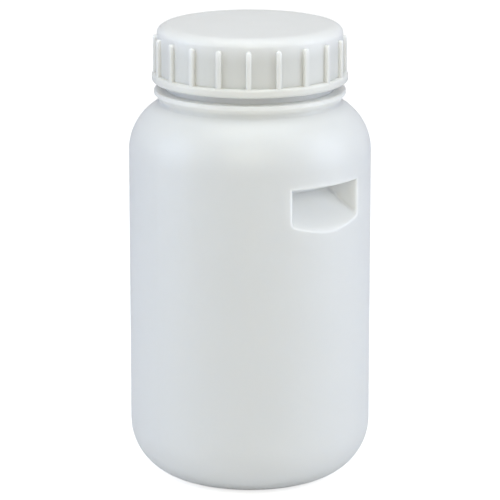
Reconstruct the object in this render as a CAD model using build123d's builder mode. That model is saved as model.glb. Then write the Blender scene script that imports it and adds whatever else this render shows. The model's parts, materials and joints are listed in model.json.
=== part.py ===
from build123d import *
import os
from math import acos, atan2, cos, degrees, hypot, radians, sin, sqrt, tan

# A two-litre wide-mouth reagent bottle in polyethylene. It stands on XY with its axis on Z,
# and -Y is its front. The cap has a right-hand thread, so it turns anticlockwise, seen
# from above, to come off. All sizes are in millimetres and all angles in degrees.

# shell
body_radius = 60.0
body_wall = 1.8
heel_radius = 28.0
foot_width = 6.0
push_up = 4.0
pinch_margin = 6.0
pinch_width = 1.2
pinch_out = 0.5
pinch_bury = 0.4
shoulder_base = 165.6
shoulder_radius = 27.2

# neck
neck_step = 3.5
neck_wall = 2.6
neck_blend = 1.5
collar_foot = 2.0
collar_slope = 2.4
collar_thickness = 2.1
collar_out = 2.3
collar_edge = 0.6
collar_foot_flat = 0.1
mouth_radius = 39.0
finish_wall = 2.6
finish_height = 27.1
rim_edge = 0.5

# thread, with the same ridge on the neck and in the cap
thread_pitch = 6.0
thread_turns = 1.5
thread_depth = 1.6
thread_root_width = 2.8
thread_crest_width = 1.3
thread_clearance = 0.5
flank_clearance = 0.3
thread_start = 11.7
thread_azimuth = 90.0
thread_bury = 0.4

# finger grips, pressed into opposite sides of the wall
grip_count = 2
grip_azimuth = -49.5
grip_half_width = 21.0
grip_ledge = 156.7
grip_sill = 135.1
grip_back_height = 5.4
grip_floor_angle = 46.4
grip_lip_angle = 14.0
grip_lip_bend = 11.0
grip_end_draft = 30.0
grip_floor_bend = 6.0
grip_roof_bend = 2.0
grip_corner = 1.6
grip_edge = 1.3
grip_reach = 12.0

# cap
cap_gap = 3.9
cap_wall = 2.2
cap_top_thickness = 2.4
cap_dome = 0.3
cap_corner_across = 6.5
cap_corner_down = 4.2
cap_inner_corner = 1.5
flange_height = 4.4
flange_out = 2.55
flange_top_edge = 1.3
flange_foot_edge = 1.5
rib_count = 20
rib_azimuth = -90.8
rib_out = 1.95
rib_width = 2.6
rib_height = 18.3
rib_edge = 0.7
rib_bury = 0.6

# liner and inner stopper
liner_thickness = 1.5
liner_clearance = 1.7
liner_edge = 0.2
stopper_wall = 1.3
stopper_flange = 1.2
stopper_depth = 10.0
stopper_clearance = 0.1
stopper_overlap = 2.5
stopper_lead = 1.0
stopper_edge = 0.3
bead_out = 0.4
bead_heights = (3.0, 6.5)
pull_bar_width = 3.0
pull_bar_length = 44.0
pull_bar_drop = 1.5

# The sloping floor of a grip runs in from its sill to the foot of its back.
grip_depth = (grip_ledge - grip_back_height - grip_sill) * tan(radians(grip_floor_angle))

# The neck stands a step outside the finish that carries the thread.
finish_radius = mouth_radius + finish_wall
neck_radius = finish_radius + neck_step

# heights up the neck, each from the one below it
shoulder_centre = body_radius - shoulder_radius
shoulder_turn = degrees(acos((neck_radius - shoulder_centre) / shoulder_radius))
shoulder_top = shoulder_base + shoulder_radius * sin(radians(shoulder_turn))
collar_root = shoulder_top + collar_foot
collar_under = collar_root + collar_slope
collar_top = collar_under + collar_thickness
rim = collar_top + finish_height
collar_radius = neck_radius + collar_out

# Both blends at the collar's foot share its short upright wall.
shoulder_corner = tan(radians(shoulder_turn) / 2)
collar_corner = tan(atan2(collar_out, collar_slope) / 2)
longest_blend = (collar_foot - collar_foot_flat) / (shoulder_corner + collar_corner)
foot_blend = min(neck_blend, longest_blend)

# inside of the shell
foot_outer = body_radius - heel_radius
foot_inner = foot_outer - foot_width
inner_radius = body_radius - body_wall
inner_neck = neck_radius - neck_wall
inner_shoulder_radius = shoulder_radius - body_wall
inner_turn = degrees(acos((inner_neck - shoulder_centre) / inner_shoulder_radius))
inner_shoulder_top = shoulder_base + inner_shoulder_radius * sin(radians(inner_turn))

# cap, and what lies between it and the rim
stopper_top = rim + stopper_flange
liner_top = stopper_top + liner_thickness
cap_edge_top = liner_top + cap_top_thickness
cap_top = cap_edge_top + cap_dome
cap_foot = collar_top + cap_gap
flange_top = cap_foot + flange_height
cap_inner_radius = finish_radius + thread_depth + thread_clearance
cap_radius = cap_inner_radius + cap_wall
flange_radius = cap_radius + flange_out
liner_radius = cap_inner_radius - liner_clearance

# The cap's ridge lies under the neck's, one flank clearance away from it.
flank_slope = (thread_root_width - thread_crest_width) / 2 / thread_depth
meshed_width = thread_root_width - flank_slope * (thread_depth + thread_clearance)
neck_thread_start = collar_top + thread_start
cap_thread_start = neck_thread_start - meshed_width - flank_clearance


def ring(part, radius, height):
    """The round edges of a part that have this radius and lie at this height."""
    return part.edges().filter_by(
        lambda edge: edge.geom_type == GeomType.CIRCLE
        and abs(edge.radius - radius) < 0.01
        and abs(edge.arc_center.Z - height) < 0.01
    )


def grip_space(grow):
    """The space inside a grip that faces +X, with its walls moved outwards by grow."""
    outside = body_radius + grip_reach
    back = body_radius - grip_depth
    lip_foot = grip_sill - grip_reach / tan(radians(grip_lip_angle))
    wall_edge = sqrt(body_radius**2 - grip_half_width**2)
    end_slope = tan(radians(grip_end_draft))
    outside_width = grip_half_width + (outside - wall_edge) * end_slope
    back_width = grip_half_width + (back - wall_edge) * end_slope

    with BuildPart() as space:
        with BuildSketch(Plane.XZ) as side:
            with BuildLine():
                Polyline(
                    (outside, lip_foot),
                    (body_radius, grip_sill),
                    (back, grip_ledge - grip_back_height),
                    (back, grip_ledge),
                    (outside, grip_ledge),
                    close=True,
                )
            make_face()
            corners = side.vertices().sort_by(Axis.X)
            back_corners = corners[:2].sort_by(Axis.Y)
            fillet(corners[2], grip_lip_bend)
            fillet(back_corners[0], grip_floor_bend)
            fillet(back_corners[1], grip_roof_bend)
            if grow:
                offset(amount=grow)
        extrude(amount=outside_width + grow, both=True)
        with BuildSketch(Plane.XY.offset(lip_foot - grow)):
            with BuildLine():
                Polyline(
                    (outside, outside_width),
                    (back, back_width),
                    (back, -back_width),
                    (outside, -outside_width),
                    close=True,
                )
            make_face()
            if grow:
                offset(amount=grow)
        extrude(amount=grip_ledge - lip_foot + 2 * grow, mode=Mode.INTERSECT)
    return space.part


def thread_ridge(root_radius, crest_radius, start_height):
    """A right-hand ridge with blunt ends, whose section starts at this height."""
    outwards = 1 if crest_radius > root_radius else -1
    buried_radius = root_radius - outwards * thread_bury
    buried_width = thread_root_width + 2 * flank_slope * thread_bury
    with BuildPart() as ridge:
        with BuildLine(Plane.XY.offset(start_height).rotated((0, 0, thread_azimuth))) as path:
            Helix(thread_pitch, thread_pitch * thread_turns, root_radius)
        with BuildSketch(Plane.XZ.rotated((0, 0, thread_azimuth))):
            with BuildLine():
                Polyline(
                    (buried_radius, start_height - buried_width / 2),
                    (crest_radius, start_height - thread_crest_width / 2),
                    (crest_radius, start_height + thread_crest_width / 2),
                    (buried_radius, start_height + buried_width / 2),
                    close=True,
                )
            make_face()
        sweep(path=path.wires()[0], is_frenet=True)
    return ridge.part


neck_thread = thread_ridge(finish_radius, finish_radius + thread_depth, neck_thread_start)
cap_thread = thread_ridge(cap_inner_radius, cap_inner_radius - thread_depth, cap_thread_start)
grip_core = grip_space(body_wall)

with BuildPart() as grip:
    add(grip_space(0))
    end_slant = cos(radians(grip_end_draft))
    ends = grip.faces().filter_by(lambda face: abs(abs(face.normal_at().Y) - end_slant) < 0.001)
    end_edges = ends.edges().filter_by(
        lambda edge: edge.center().X < body_radius and edge.center().Z < grip_ledge - 0.01
    )
    fillet(end_edges, grip_corner)

with BuildPart() as cavity:
    with BuildSketch(Plane.XZ):
        with BuildLine():
            Line((0, rim + body_wall), (0, push_up + body_wall))
            TangentArc((0, push_up + body_wall), (foot_inner, body_wall), tangent=(1, 0))
            Line((foot_inner, body_wall), (foot_outer, body_wall))
            CenterArc((foot_outer, heel_radius), heel_radius - body_wall, -90, 90)
            Line((inner_radius, heel_radius), (inner_radius, shoulder_base))
            CenterArc((shoulder_centre, shoulder_base), inner_shoulder_radius, 0, inner_turn)
            Polyline(
                (inner_neck, inner_shoulder_top),
                (inner_neck, collar_root),
                (mouth_radius, collar_top),
                (mouth_radius, rim + body_wall),
                (0, rim + body_wall),
            )
        make_face()
    revolve(axis=Axis.Z)
    with PolarLocations(0, grip_count, start_angle=grip_azimuth):
        add(grip_core, mode=Mode.SUBTRACT)

# The weld that pinches the tube of plastic shut lies under the base, in the parting plane.
with BuildPart() as pinch_weld:
    with BuildSketch(Plane.XZ):
        with BuildLine():
            below = TangentArc((0, push_up - pinch_out), (foot_inner, -pinch_out), tangent=(1, 0))
            above = TangentArc((0, push_up + pinch_bury), (foot_inner, pinch_bury), tangent=(1, 0))
            Line(below @ 0, above @ 0)
            Line(below @ 1, above @ 1)
        make_face()
    revolve(axis=Axis.Z)
    with BuildSketch(Plane.XY.rotated((0, 0, grip_azimuth + 90))):
        SlotOverall(2 * (foot_inner - pinch_margin), pinch_width)
    extrude(amount=push_up + pinch_bury, both=True, mode=Mode.INTERSECT)

with BuildPart() as bottle_body:
    with BuildSketch(Plane.XZ):
        with BuildLine():
            Line((0, rim), (0, push_up))
            TangentArc((0, push_up), (foot_inner, 0), tangent=(1, 0))
            Line((foot_inner, 0), (foot_outer, 0))
            CenterArc((foot_outer, heel_radius), heel_radius, -90, 90)
            Line((body_radius, heel_radius), (body_radius, shoulder_base))
            CenterArc((shoulder_centre, shoulder_base), shoulder_radius, 0, shoulder_turn)
            Polyline(
                (neck_radius, shoulder_top),
                (neck_radius, collar_root),
                (collar_radius, collar_under),
                (collar_radius, collar_top),
                (finish_radius, collar_top),
                (finish_radius, rim),
                (0, rim),
            )
        make_face()
    revolve(axis=Axis.Z)
    with PolarLocations(0, grip_count, start_angle=grip_azimuth):
        add(grip.part, mode=Mode.SUBTRACT)
    grip_rims = bottle_body.edges().filter_by(
        lambda edge: all(
            abs(hypot(end.X, end.Y) - body_radius) < 0.01
            and grip_sill - grip_lip_bend < end.Z < grip_ledge + 0.01
            for end in edge.vertices()
        )
    )
    fillet(grip_rims, grip_edge)
    fillet(ring(bottle_body, neck_radius, shoulder_top), foot_blend)
    fillet(ring(bottle_body, neck_radius, collar_root), foot_blend)
    fillet(ring(bottle_body, collar_radius, collar_under), collar_edge)
    fillet(ring(bottle_body, collar_radius, collar_top), collar_edge)
    add(cavity.part, mode=Mode.SUBTRACT)
    fillet(ring(bottle_body, mouth_radius, rim), rim_edge)
    fillet(ring(bottle_body, finish_radius, rim), rim_edge)
    add(neck_thread)
    add(pinch_weld.part)
bottle_body.part.label = "bottle_body"

with BuildPart() as rib:
    rib_foot = flange_top - rib_width
    rib_top = flange_top + rib_height
    with BuildSketch(Plane.YZ.offset(cap_radius - rib_bury)):
        with Locations((0, (rib_foot + rib_top) / 2)):
            SlotOverall(rib_top - rib_foot, rib_width, rotation=90)
    extrude(amount=rib_bury + rib_out)
    fillet(rib.faces().sort_by(Axis.X)[-1].edges(), rib_edge)

with BuildPart() as screw_cap:
    with BuildSketch(Plane.XZ):
        with BuildLine():
            Line((0, cap_top), (0, liner_top))
            Polyline(
                (0, liner_top),
                (cap_inner_radius, liner_top),
                (cap_inner_radius, cap_foot),
                (flange_radius, cap_foot),
                (flange_radius, flange_top),
                (cap_radius, flange_top),
                (cap_radius, cap_edge_top - cap_corner_down),
            )
            EllipticalCenterArc(
                (cap_radius - cap_corner_across, cap_edge_top - cap_corner_down),
                cap_corner_across,
                cap_corner_down,
            )
            TangentArc(
                (0, cap_top), (cap_radius - cap_corner_across, cap_edge_top), tangent=(1, 0)
            )
        make_face()
    revolve(axis=Axis.Z)
    fillet(ring(screw_cap, cap_inner_radius, liner_top), cap_inner_corner)
    fillet(ring(screw_cap, flange_radius, cap_foot), flange_foot_edge)
    fillet(ring(screw_cap, flange_radius, flange_top), flange_top_edge)
    with PolarLocations(0, rib_count, start_angle=rib_azimuth):
        add(rib.part)
    add(cap_thread)
screw_cap.part.label = "screw_cap"

with BuildPart() as cap_liner:
    with BuildSketch(Plane.XY.offset(stopper_top)):
        Circle(liner_radius)
    extrude(amount=liner_thickness)
    fillet(cap_liner.edges().filter_by(GeomType.CIRCLE), liner_edge)
cap_liner.part.label = "cap_liner"

# The stopper's beads fill the mouth, and its wall stands a little inside them.
plug_radius = mouth_radius - stopper_clearance - bead_out
plug_foot = rim - stopper_depth
plug_floor = plug_foot + stopper_wall
plug_inner = plug_radius - stopper_wall
stopper_radius = mouth_radius + stopper_overlap

with BuildPart() as inner_stopper:
    with BuildSketch(Plane.XZ):
        with BuildLine():
            Polyline(
                (0, plug_foot),
                (plug_radius - stopper_lead, plug_foot),
                (plug_radius, plug_foot + stopper_lead),
                (plug_radius, rim),
                (stopper_radius, rim),
                (stopper_radius, stopper_top),
                (plug_inner, stopper_top),
                (plug_inner, plug_floor),
                (0, plug_floor),
                close=True,
            )
        make_face()
        with Locations(*[(plug_radius, plug_foot + height) for height in bead_heights]):
            Circle(bead_out)
    revolve(axis=Axis.Z)
    fillet(ring(inner_stopper, stopper_radius, rim), stopper_edge)
    fillet(ring(inner_stopper, stopper_radius, stopper_top), stopper_edge)
    fillet(ring(inner_stopper, plug_inner, stopper_top), stopper_edge)
    with BuildSketch(Plane.XY.offset(plug_floor - stopper_wall / 2)):
        SlotOverall(pull_bar_length, pull_bar_width)
    extrude(amount=stopper_top - pull_bar_drop - plug_floor + stopper_wall / 2)
inner_stopper.part.label = "inner_stopper"

os.makedirs("parts", exist_ok=True)
for piece in (bottle_body.part, screw_cap.part, cap_liner.part, inner_stopper.part):
    export_step(piece, f"parts/{piece.label}.step")
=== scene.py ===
import bpy
import json
import math
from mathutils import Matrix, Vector

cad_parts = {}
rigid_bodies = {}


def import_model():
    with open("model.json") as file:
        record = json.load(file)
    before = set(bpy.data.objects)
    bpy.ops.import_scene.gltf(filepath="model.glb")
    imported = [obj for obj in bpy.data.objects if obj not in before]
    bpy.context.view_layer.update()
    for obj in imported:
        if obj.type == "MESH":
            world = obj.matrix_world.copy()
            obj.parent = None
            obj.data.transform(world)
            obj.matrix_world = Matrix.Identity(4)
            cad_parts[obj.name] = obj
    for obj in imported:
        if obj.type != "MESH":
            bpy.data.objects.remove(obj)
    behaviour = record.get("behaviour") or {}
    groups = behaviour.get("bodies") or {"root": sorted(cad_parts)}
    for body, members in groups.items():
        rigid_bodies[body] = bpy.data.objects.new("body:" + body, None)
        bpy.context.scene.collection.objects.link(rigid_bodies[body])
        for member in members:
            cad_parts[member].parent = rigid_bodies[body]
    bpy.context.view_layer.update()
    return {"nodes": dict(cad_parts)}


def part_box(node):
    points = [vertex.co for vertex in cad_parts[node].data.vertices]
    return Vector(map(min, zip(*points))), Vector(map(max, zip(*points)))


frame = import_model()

# The looks of a wide-mouth reagent bottle in milky polyethylene, with a white screw cap.
# Lengths are in metres, in the frame's own axes: +Z up and -Y the front.

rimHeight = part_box("bottle_body")[1][2]
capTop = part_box("screw_cap")[1][2]
white = (1.0, 1.0, 1.0, 1.0)


def deselectAll():
    for obj in bpy.context.scene.objects:
        obj.select_set(False)


deselectAll()
print("frame loaded:", len(frame["nodes"]), "nodes")


def addMath(tree, operation, first, second=None):
    node = tree.nodes.new("ShaderNodeMath")
    node.operation = operation
    for socket, value in zip(node.inputs, (first, second)):
        if value is None:
            continue
        if isinstance(value, (int, float)):
            socket.default_value = value
        else:
            tree.links.new(value, socket)
    return node.outputs[0]


viewing = {
    "distance": 1.6715,     # from the point looked at
    "elevation": 13.93,     # degrees above the horizon
    "lookHeight": 0.11386,
    "lens": 241.0,          # millimetres, on a 36 mm sensor
    "sensor": 36.0,
}


def placeCamera():
    lift = math.radians(viewing["elevation"])
    target = Vector((0, 0, viewing["lookHeight"]))
    back = Vector((0, -math.cos(lift), math.sin(lift)))
    data = bpy.data.cameras.new("camera")
    data.lens = viewing["lens"]
    data.sensor_width = viewing["sensor"]
    camera = bpy.data.objects.new("camera", data)
    bpy.context.scene.collection.objects.link(camera)
    camera.location = target + back * viewing["distance"]
    camera.rotation_euler = (-back).to_track_quat("-Z", "Y").to_euler()
    bpy.context.scene.camera = camera


lighting = {
    "target": (0.0, 0.0, 0.12),
    "worldLight": 0.42,
    "worldTint": (1.0, 0.97, 0.98),
    "backdrop": 1.0,
    "exposure": 0.0,
    # name: place, width, height, watts, colour
    "lamps": {
        "overhead": ((0.0, -0.15, 1.15), 0.9, 0.9, 5.3, (0.95, 1.0, 0.96)),
        "left": ((-1.1, -0.25, 0.45), 0.7, 1.0, 5.3, (0.68, 0.8, 1.0)),
        "right": ((1.1, -0.2, 0.5), 0.7, 1.0, 6.4, (0.76, 0.85, 1.0)),
        "front": ((0.0, -1.5, 0.9), 0.8, 0.5, 4.6, (1.0, 0.99, 0.78)),
        "frontLow": ((0.0, -1.6, 0.25), 0.7, 0.35, 1.2, (1.0, 0.99, 0.84)),
    },
}


def placeLamp(name, place, width, height, watts, colour):
    data = bpy.data.lights.new(name, "AREA")
    data.shape = "RECTANGLE"
    data.size = width
    data.size_y = height
    data.energy = watts
    data.color = colour
    lamp = bpy.data.objects.new(name, data)
    bpy.context.scene.collection.objects.link(lamp)
    lamp.location = place
    aim = Vector(lighting["target"]) - Vector(place)
    lamp.rotation_euler = aim.to_track_quat("-Z", "Y").to_euler()


def buildWorld():
    world = bpy.data.worlds.new("studio")
    bpy.context.scene.world = world
    world.use_nodes = True
    tree = world.node_tree
    tree.nodes.clear()
    output = tree.nodes.new("ShaderNodeOutputWorld")
    chooser = tree.nodes.new("ShaderNodeMixShader")
    path = tree.nodes.new("ShaderNodeLightPath")
    ambient = tree.nodes.new("ShaderNodeBackground")
    ambient.inputs["Color"].default_value = (*lighting["worldTint"], 1.0)
    ambient.inputs["Strength"].default_value = lighting["worldLight"]
    backdrop = tree.nodes.new("ShaderNodeBackground")
    backdrop.inputs["Color"].default_value = white
    backdrop.inputs["Strength"].default_value = lighting["backdrop"]
    tree.links.new(path.outputs["Is Camera Ray"], chooser.inputs["Fac"])
    tree.links.new(ambient.outputs["Background"], chooser.inputs[1])
    tree.links.new(backdrop.outputs["Background"], chooser.inputs[2])
    tree.links.new(chooser.outputs["Shader"], output.inputs["Surface"])


floorLook = {
    "size": 8.0,
    "colour": (0.75, 0.75, 0.75, 1.0),
    "glow": 0.7,            # seen by the camera alone, so it lights nothing
    "roughness": 0.85,
}


def buildFloor():
    bpy.ops.mesh.primitive_plane_add(size=floorLook["size"])
    floor = bpy.context.object
    floor.name = "floor"
    material = bpy.data.materials.new("floor_paper")
    material.use_nodes = True
    shader = material.node_tree.nodes["Principled BSDF"]
    shader.inputs["Base Color"].default_value = floorLook["colour"]
    shader.inputs["Roughness"].default_value = floorLook["roughness"]
    shader.inputs["Emission Color"].default_value = white
    path = material.node_tree.nodes.new("ShaderNodeLightPath")
    glow = addMath(
        material.node_tree, "MULTIPLY", path.outputs["Is Camera Ray"], floorLook["glow"]
    )
    material.node_tree.links.new(glow, shader.inputs["Emission Strength"])
    floor.data.materials.append(material)


placeCamera()
buildWorld()
for lampName, lamp in lighting["lamps"].items():
    placeLamp(lampName, *lamp)
buildFloor()
bpy.context.scene.view_settings.view_transform = "Standard"
bpy.context.scene.view_settings.exposure = lighting["exposure"]
print("studio ready")


def newGroup(name, inputs, outputs):
    group = bpy.data.node_groups.new(name, "ShaderNodeTree")
    for label, kind, value in inputs:
        socket = group.interface.new_socket(name=label, in_out="INPUT", socket_type=kind)
        if value is not None:
            socket.default_value = value
    for label, kind in outputs:
        group.interface.new_socket(name=label, in_out="OUTPUT", socket_type=kind)
    return group, group.nodes.new("NodeGroupInput"), group.nodes.new("NodeGroupOutput")


def addNoise(tree, vector, scale, detail):
    node = tree.nodes.new("ShaderNodeTexNoise")
    node.inputs["Detail"].default_value = detail
    tree.links.new(vector, node.inputs["Vector"])
    if isinstance(scale, (int, float)):
        node.inputs["Scale"].default_value = scale
    else:
        tree.links.new(scale, node.inputs["Scale"])
    return node.outputs["Fac"]


def addSmoothStep(tree, value, low, high):
    node = tree.nodes.new("ShaderNodeMapRange")
    node.interpolation_type = "SMOOTHSTEP"
    tree.links.new(value, node.inputs["Value"])
    for label, limit in (("From Min", low), ("From Max", high)):
        if isinstance(limit, (int, float)):
            node.inputs[label].default_value = limit
        else:
            tree.links.new(limit, node.inputs[label])
    return node.outputs["Result"]


floatSocket = "NodeSocketFloat"
vectorSocket = "NodeSocketVector"


def buildMouldedSkin():
    # fine grain of the mould's surface on top of a long, soft ripple of the wall
    group, given, made = newGroup(
        "mouldedSkin",
        [
            ("Vector", vectorSocket, None),
            ("Grain Scale", floatSocket, 1500.0),
            ("Grain Share", floatSocket, 0.3),
            ("Ripple Scale", floatSocket, 35.0),
        ],
        [("Height", floatSocket), ("Mottle", floatSocket)],
    )
    grain = addNoise(group, given.outputs["Vector"], given.outputs["Grain Scale"], detail=3.0)
    ripple = addNoise(group, given.outputs["Vector"], given.outputs["Ripple Scale"], detail=1.0)
    share = given.outputs["Grain Share"]
    fine = addMath(group, "MULTIPLY", grain, share)
    height = addMath(group, "ADD", fine, ripple)
    group.links.new(height, made.inputs["Height"])
    group.links.new(ripple, made.inputs["Mottle"])
    return group


lineStretch = (1.0, 1.0, 0.012)  # long along the axis


def buildDieLines():
    # faint upright lines that the parison's die leaves in a blown wall
    group, given, made = newGroup(
        "dieLines",
        [("Vector", vectorSocket, None), ("Scale", floatSocket, 260.0)],
        [("Lines", floatSocket)],
    )
    stretch = group.nodes.new("ShaderNodeMapping")
    stretch.inputs["Scale"].default_value = lineStretch
    group.links.new(given.outputs["Vector"], stretch.inputs["Vector"])
    streaks = addNoise(group, stretch.outputs["Vector"], given.outputs["Scale"], detail=2.0)
    group.links.new(streaks, made.inputs["Lines"])
    return group


def buildSeamLine():
    # a thin band where an upright plane through the axis cuts the wall
    group, given, made = newGroup(
        "seamLine",
        [
            ("Vector", vectorSocket, None),
            ("Azimuth", floatSocket, 0.0),
            ("Half Width", floatSocket, 0.0003),
        ],
        [("Mask", floatSocket)],
    )
    parts = group.nodes.new("ShaderNodeSeparateXYZ")
    group.links.new(given.outputs["Vector"], parts.inputs["Vector"])
    sine = addMath(group, "SINE", given.outputs["Azimuth"])
    cosine = addMath(group, "COSINE", given.outputs["Azimuth"])
    across = addMath(
        group,
        "SUBTRACT",
        addMath(group, "MULTIPLY", parts.outputs["X"], sine),
        addMath(group, "MULTIPLY", parts.outputs["Y"], cosine),
    )
    away = addMath(group, "ABSOLUTE", across)
    outside = addSmoothStep(group, away, 0.0, given.outputs["Half Width"])
    mask = addMath(group, "SUBTRACT", 1.0, outside)
    group.links.new(mask, made.inputs["Mask"])
    return group


def buildHeightBand():
    # 1 below the lower height and 0 above the upper one
    group, given, made = newGroup(
        "heightBand",
        [
            ("Vector", vectorSocket, None),
            ("Full Below", floatSocket, 0.0),
            ("None Above", floatSocket, 0.01),
        ],
        [("Mask", floatSocket)],
    )
    parts = group.nodes.new("ShaderNodeSeparateXYZ")
    group.links.new(given.outputs["Vector"], parts.inputs["Vector"])
    above = addSmoothStep(
        group, parts.outputs["Z"], given.outputs["Full Below"], given.outputs["None Above"]
    )
    group.links.new(addMath(group, "SUBTRACT", 1.0, above), made.inputs["Mask"])
    return group


def buildTurnedRings():
    # rings round the axis, as a lathe leaves them in a mould
    group, given, made = newGroup(
        "turnedRings",
        [("Vector", vectorSocket, None), ("Ring Scale", floatSocket, 900.0)],
        [("Rings", floatSocket), ("Radius", floatSocket)],
    )
    flat = group.nodes.new("ShaderNodeVectorMath")
    flat.operation = "MULTIPLY"
    flat.inputs[1].default_value = (1.0, 1.0, 0.0)
    group.links.new(given.outputs["Vector"], flat.inputs[0])
    reach = group.nodes.new("ShaderNodeVectorMath")
    reach.operation = "LENGTH"
    group.links.new(flat.outputs["Vector"], reach.inputs[0])
    radius = reach.outputs["Value"]
    along = group.nodes.new("ShaderNodeCombineXYZ")
    group.links.new(radius, along.inputs["X"])
    rings = addNoise(group, along.outputs["Vector"], given.outputs["Ring Scale"], detail=2.0)
    group.links.new(rings, made.inputs["Rings"])
    group.links.new(radius, made.inputs["Radius"])
    return group


groups = {
    "mouldedSkin": buildMouldedSkin(),
    "dieLines": buildDieLines(),
    "seamLine": buildSeamLine(),
    "heightBand": buildHeightBand(),
    "turnedRings": buildTurnedRings(),
}
print("shader groups:", ", ".join(groups))


def newMaterial(name):
    material = bpy.data.materials.new(name)
    material.use_nodes = True
    tree = material.node_tree
    shader = tree.nodes["Principled BSDF"]
    place = tree.nodes.new("ShaderNodeTexCoord").outputs["Object"]
    return material, tree, shader, place


def useGroup(tree, name, place, **values):
    node = tree.nodes.new("ShaderNodeGroup")
    node.node_tree = groups[name]
    tree.links.new(place, node.inputs["Vector"])
    for label, value in values.items():
        node.inputs[label.replace("_", " ")].default_value = value
    return node


def useSkin(tree, place, look):
    return useGroup(
        tree,
        "mouldedSkin",
        place,
        Grain_Scale=look["grainScale"],
        Ripple_Scale=look["rippleScale"],
    )


def mixColour(tree, mask, first, second):
    node = tree.nodes.new("ShaderNodeMix")
    node.data_type = "RGBA"
    tree.links.new(mask, node.inputs["Factor"])
    for socket, value in ((node.inputs["A"], first), (node.inputs["B"], second)):
        if isinstance(value, tuple):
            socket.default_value = (*value, 1.0)
        else:
            tree.links.new(value, socket)
    return node.outputs["Result"]


def addBump(tree, shader, height, distance):
    node = tree.nodes.new("ShaderNodeBump")
    node.inputs["Strength"].default_value = 1.0
    node.inputs["Distance"].default_value = distance
    tree.links.new(height, node.inputs["Height"])
    tree.links.new(node.outputs["Normal"], shader.inputs["Normal"])


def addRoughness(tree, shader, value, low, high):
    node = tree.nodes.new("ShaderNodeMapRange")
    node.inputs["To Min"].default_value = low
    node.inputs["To Max"].default_value = high
    tree.links.new(value, node.inputs["Value"])
    tree.links.new(node.outputs["Result"], shader.inputs["Roughness"])


def makeMilky(shader, look):
    shader.inputs["Subsurface Weight"].default_value = look["scatterWeight"]
    shader.inputs["Subsurface Scale"].default_value = look["scatterDepth"]
    shader.inputs["Subsurface Radius"].default_value = look["scatterRadius"]
    shader.inputs["IOR"].default_value = look["ior"]


shellLook = {
    "wallColour": (0.88, 0.88, 0.86),
    # painted shade, darker over the shoulder's top and the collar
    "paintedNeckShadeColour": (0.8, 0.8, 0.775),
    # painted light, lighter on the finish to lift the shade in the gap under the cap
    "paintedFinishLightColour": (0.96, 0.96, 0.94),
    "mottleColour": (0.83, 0.845, 0.84),
    "mottleShare": 0.35,
    "scatterDepth": 0.0055,
    "scatterRadius": (1.0, 0.95, 0.9),
    "scatterWeight": 1.0,
    "ior": 1.54,
    "roughness": (0.3, 0.42),
    "grainScale": 1400.0,
    "rippleScale": 28.0,
    "lineScale": 240.0,
    "skinDepth": 0.00006,
    "lineShare": 0.4,
    "seamAzimuth": math.radians(40.5),
    "seamHalfWidth": 0.00035,
    "seamShare": 1.2,
    "neckShadeStart": 0.0375,    # below the rim, where the painted shade over the shoulder's top and the collar begins
    "neckShadeFull": 0.0315,
    "finishLightStart": 0.0273,  # below the rim, where the painted light on the finish above the collar begins; it lifts the shade in the gap under the cap
    "finishLightFull": 0.0267,
    "scuffFull": 0.002,     # rubbed dull where it slides on a bench
    "scuffNone": 0.014,
    "scuffScale": 420.0,
    "scuffShare": 1.6,
}


def buildShellMaterial():
    material, tree, shader, place = newMaterial("milky_shell")
    skin = useSkin(tree, place, shellLook)
    lines = useGroup(tree, "dieLines", place, Scale=shellLook["lineScale"])
    seam = useGroup(
        tree,
        "seamLine",
        place,
        Azimuth=shellLook["seamAzimuth"],
        Half_Width=shellLook["seamHalfWidth"],
    )
    # painted shade over the shoulder's top and the collar, dulling the overhead lamp's light
    # there
    below = useGroup(
        tree,
        "heightBand",
        place,
        Full_Below=rimHeight - shellLook["neckShadeStart"],
        None_Above=rimHeight - shellLook["neckShadeFull"],
    )
    # painted light on the finish above the collar, lifting the shade in the gap under the cap
    belowFinishLight = useGroup(
        tree,
        "heightBand",
        place,
        Full_Below=rimHeight - shellLook["finishLightStart"],
        None_Above=rimHeight - shellLook["finishLightFull"],
    )
    mottle = addMath(tree, "MULTIPLY", skin.outputs["Mottle"], shellLook["mottleShare"])
    wall = mixColour(tree, mottle, shellLook["wallColour"], shellLook["mottleColour"])
    lower = mixColour(tree, below.outputs["Mask"], shellLook["paintedNeckShadeColour"], wall)
    colour = mixColour(tree, belowFinishLight.outputs["Mask"], shellLook["paintedFinishLightColour"], lower)
    tree.links.new(colour, shader.inputs["Base Color"])
    heel = useGroup(
        tree,
        "heightBand",
        place,
        Full_Below=shellLook["scuffFull"],
        None_Above=shellLook["scuffNone"],
    )
    rubbing = addNoise(tree, place, shellLook["scuffScale"], detail=4.0)
    rubbed = addMath(tree, "MULTIPLY", rubbing, heel.outputs["Mask"])
    scuffs = addMath(tree, "MULTIPLY", rubbed, shellLook["scuffShare"])
    dullness = addMath(tree, "ADD", lines.outputs["Lines"], scuffs)
    addRoughness(tree, shader, dullness, *shellLook["roughness"])
    streaks = addMath(tree, "MULTIPLY", lines.outputs["Lines"], shellLook["lineShare"])
    ridge = addMath(tree, "MULTIPLY", seam.outputs["Mask"], shellLook["seamShare"])
    height = addMath(tree, "ADD", addMath(tree, "ADD", skin.outputs["Height"], streaks), ridge)
    addBump(tree, shader, height, shellLook["skinDepth"])
    makeMilky(shader, shellLook)
    return material


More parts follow.
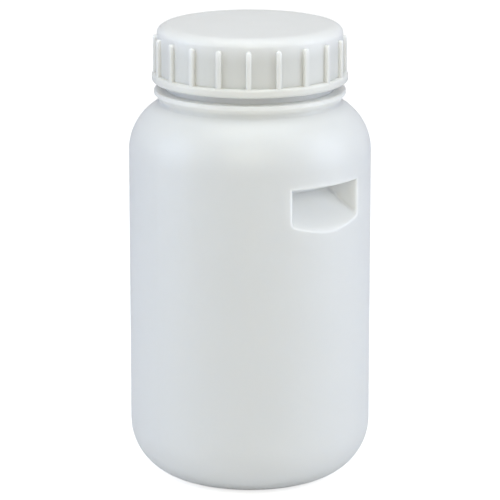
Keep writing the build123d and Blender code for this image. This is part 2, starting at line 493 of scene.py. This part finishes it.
capLook = {
    # painted light and shade: the cap's top is painted lighter and its side wall darker,
    # standing in for light on the top and shade on the wall
    "paintedTopLightColour": (0.86, 0.86, 0.85),
    "wallColour": (0.715, 0.715, 0.69),
    "topLightStart": 0.0125,     # below the cap's top, where the painted light of the top gives way to the painted shade of the side wall
    "topLightFull": 0.003,
    "mottleColour": (0.7, 0.7, 0.68),
    "mottleShare": 0.15,
    "scatterDepth": 0.0055,
    "scatterRadius": (1.0, 0.95, 0.9),
    "scatterWeight": 0.9,
    "ior": 1.49,
    "roughness": (0.28, 0.36),
    "grainScale": 2200.0,
    "rippleScale": 60.0,
    "ringScale": 900.0,
    "skinDepth": 0.00003,
    "ringShare": 0.5,
    "gateRadius": 0.0016,   # where the plastic entered the mould
    "gateEdge": 0.0004,
    "gateShare": 4.0,
}


def buildCapMaterial():
    material, tree, shader, place = newMaterial("white_cap")
    skin = useSkin(tree, place, capLook)
    rings = useGroup(tree, "turnedRings", place, Ring_Scale=capLook["ringScale"])
    wall = useGroup(
        tree,
        "heightBand",
        place,
        Full_Below=capTop - capLook["topLightStart"],
        None_Above=capTop - capLook["topLightFull"],
    )
    # painted light on the cap's top, painted shade on its side wall
    paintedTopLightAndWallShade = mixColour(tree, wall.outputs["Mask"], capLook["paintedTopLightColour"], capLook["wallColour"])
    mottle = addMath(tree, "MULTIPLY", skin.outputs["Mottle"], capLook["mottleShare"])
    colour = mixColour(tree, mottle, paintedTopLightAndWallShade, capLook["mottleColour"])
    tree.links.new(colour, shader.inputs["Base Color"])
    addRoughness(tree, shader, skin.outputs["Mottle"], *capLook["roughness"])
    turned = addMath(tree, "MULTIPLY", rings.outputs["Rings"], capLook["ringShare"])
    height = addMath(tree, "ADD", skin.outputs["Height"], turned)
    offGate = addSmoothStep(
        tree,
        rings.outputs["Radius"],
        capLook["gateRadius"],
        capLook["gateRadius"] + capLook["gateEdge"],
    )
    rim = addMath(tree, "MULTIPLY", offGate, capLook["gateShare"])
    addBump(tree, shader, addMath(tree, "ADD", height, rim), capLook["skinDepth"])
    makeMilky(shader, capLook)
    return material


stopperLook = {
    "colour": (0.87, 0.89, 0.9),
    "shadeColour": (0.82, 0.85, 0.87),
    "scatterDepth": 0.003,
    "scatterRadius": (1.0, 0.92, 0.86),
    "scatterWeight": 0.8,
    "ior": 1.51,
    "roughness": (0.35, 0.48),
    "grainScale": 1800.0,
    "rippleScale": 80.0,
    "ringScale": 600.0,
    "skinDepth": 0.00004,
    "ringShare": 0.8,
}


def buildStopperMaterial():
    material, tree, shader, place = newMaterial("soft_stopper")
    skin = useSkin(tree, place, stopperLook)
    rings = useGroup(tree, "turnedRings", place, Ring_Scale=stopperLook["ringScale"])
    colour = mixColour(
        tree, skin.outputs["Mottle"], stopperLook["colour"], stopperLook["shadeColour"]
    )
    tree.links.new(colour, shader.inputs["Base Color"])
    addRoughness(tree, shader, skin.outputs["Mottle"], *stopperLook["roughness"])
    turned = addMath(tree, "MULTIPLY", rings.outputs["Rings"], stopperLook["ringShare"])
    addBump(
        tree,
        shader,
        addMath(tree, "ADD", skin.outputs["Height"], turned),
        stopperLook["skinDepth"],
    )
    makeMilky(shader, stopperLook)
    return material


linerLook = {
    "colour": (0.9, 0.9, 0.885),
    "cellColour": (0.8, 0.8, 0.78),
    "cellScale": 1600.0,
    "roughness": (0.7, 0.85),
    "cellDepth": 0.00012,
}


def buildLinerMaterial():
    material, tree, shader, place = newMaterial("liner_foam")
    cells = tree.nodes.new("ShaderNodeTexVoronoi")
    cells.inputs["Scale"].default_value = linerLook["cellScale"]
    tree.links.new(place, cells.inputs["Vector"])
    wall = cells.outputs["Distance"]
    colour = mixColour(tree, wall, linerLook["cellColour"], linerLook["colour"])
    tree.links.new(colour, shader.inputs["Base Color"])
    addRoughness(tree, shader, wall, *linerLook["roughness"])
    addBump(tree, shader, wall, linerLook["cellDepth"])
    return material


finishes = {
    "bottle_body": buildShellMaterial(),
    "screw_cap": buildCapMaterial(),
    "inner_stopper": buildStopperMaterial(),
    "cap_liner": buildLinerMaterial(),
}


def dressNode(name, material):
    mesh = frame["nodes"][name].data
    mesh.materials.clear()
    mesh.materials.append(material)


for nodeName, finish in finishes.items():
    dressNode(nodeName, finish)
print("materials on", ", ".join(finishes))
